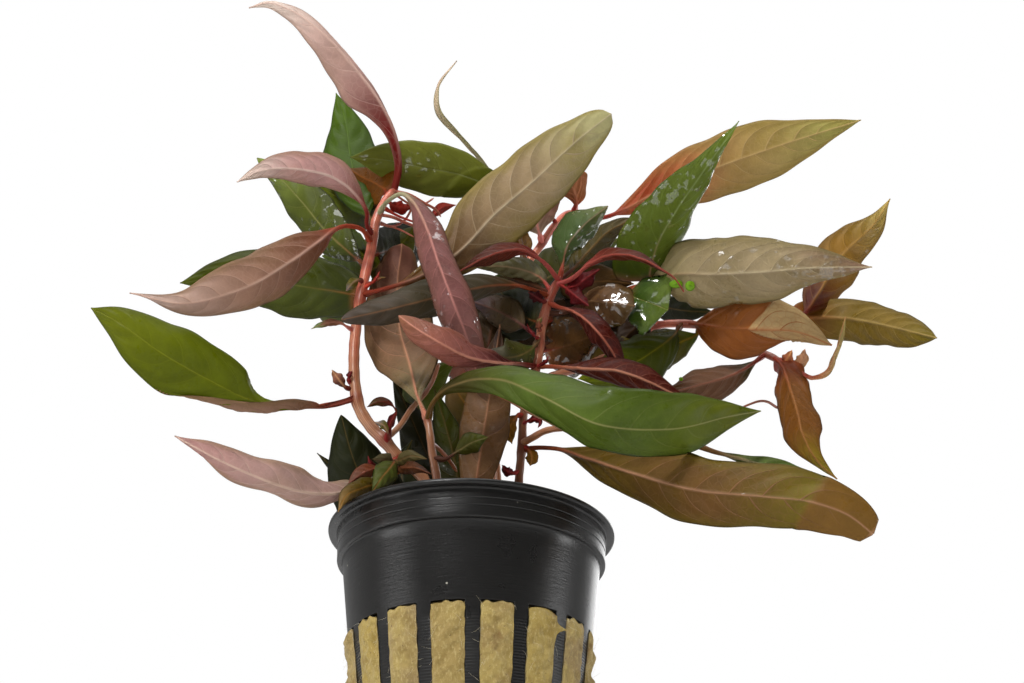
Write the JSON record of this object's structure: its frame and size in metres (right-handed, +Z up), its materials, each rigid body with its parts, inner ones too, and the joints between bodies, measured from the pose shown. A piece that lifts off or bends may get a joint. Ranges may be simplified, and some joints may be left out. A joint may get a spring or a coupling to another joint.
{
  "type": "potted ludwigia peruensis",
  "caption": "Red-stemmed aquarium plant with lance-shaped leaves, rooted in a mineral wool plug in a black slotted net pot.",
  "frame": {"origin": "centre of the pot's underside", "axes": "+Z up along the pot's axis, -Y towards the plant's front"},
  "size_m": [0.162, 0.0863, 0.1719],
  "materials": {
    "pot_plastic": "moulded black plastic, wet, with fine ribs on the bars and light scuffs",
    "mineral_wool": "matted yellow-beige mineral wool, damp, with stray fibres and brown stains",
    "stem": "soft living stem, salmon to red-brown, smooth and satin",
    "leaf_green": "living leaf, green upper side, wet satin, pale midrib",
    "leaf_olive": "living leaf, olive-brown underside with green margins, satin",
    "leaf_khaki": "living leaf, khaki underside with looping side veins, satin",
    "leaf_rust": "living leaf, rust to amber underside, pink midrib, satin",
    "leaf_pink": "living leaf, dusty pink underside, pale midrib, satin",
    "leaf_mauve": "living leaf, mauve-brown underside, wet in places",
    "leaf_crimson": "young leaf, deep crimson, orange-pink midrib, glossy"
  },
  "bodies": {
    "root": {"net_pot": "pot_plastic", "mineral_wool": "mineral_wool", "stem_left": "stem", "stem_middle": "stem", "stem_front": "stem", "stem_back": "stem", "stem_left_branch": "stem", "stem_low_branch": "stem", "stem_right": "stem", "stem_right_upper": "stem", "stem_right_low": "stem", "leaf_brown_glossy": "leaf_mauve", "leaf_brown_low_right": "leaf_mauve", "leaf_brown_upright": "leaf_mauve", "leaf_dark_brown_mid": "leaf_mauve", "leaf_hanging_rose": "leaf_mauve", "leaf_long_slate": "leaf_mauve", "leaf_mauve_behind": "leaf_mauve", "leaf_tall_mauve": "leaf_mauve", "leaf_crimson": "leaf_crimson", "leaf_crimson_low": "leaf_crimson", "leaf_red_arch_left": "leaf_crimson", "leaf_red_arch_right": "leaf_crimson", "leaf_centre": "leaf_khaki", "leaf_khaki_right": "leaf_khaki", "leaf_back_low": "leaf_green", "leaf_dark_behind_left": "leaf_green", "leaf_dark_glossy": "leaf_green", "leaf_low_dark": "leaf_green", "leaf_teal_behind": "leaf_green", "leaf_back_right": "leaf_green", "leaf_far_left_twisted": "leaf_green", "leaf_front_green": "leaf_green", "leaf_green_broad": "leaf_green", "leaf_green_by_stem": "leaf_green", "leaf_green_left": "leaf_green", "leaf_green_mid_right": "leaf_green", "leaf_green_sliver": "leaf_green", "leaf_green_under_left": "leaf_green", "leaf_green_upright": "leaf_green", "leaf_green_upright_right": "leaf_green", "leaf_amber_far_right": "leaf_rust", "leaf_crown": "leaf_rust", "leaf_hanging_right": "leaf_rust", "leaf_orange_behind": "leaf_rust", "leaf_red_front": "leaf_rust", "leaf_rust_folded": "leaf_rust", "leaf_upper_right": "leaf_rust", "leaf_back_left": "leaf_olive", "leaf_edge_on_right": "leaf_olive", "leaf_far_right": "leaf_olive", "leaf_grey_green_mid": "leaf_olive", "leaf_low_right": "leaf_olive", "leaf_olive_behind_front": "leaf_olive", "leaf_olive_grey": "leaf_olive", "leaf_olive_mid_right": "leaf_olive", "leaf_thin_curled": "leaf_olive", "leaf_big_left": "leaf_pink", "leaf_low_left": "leaf_pink", "leaf_upper_left": "leaf_pink"}
  },
  "joints": []
}
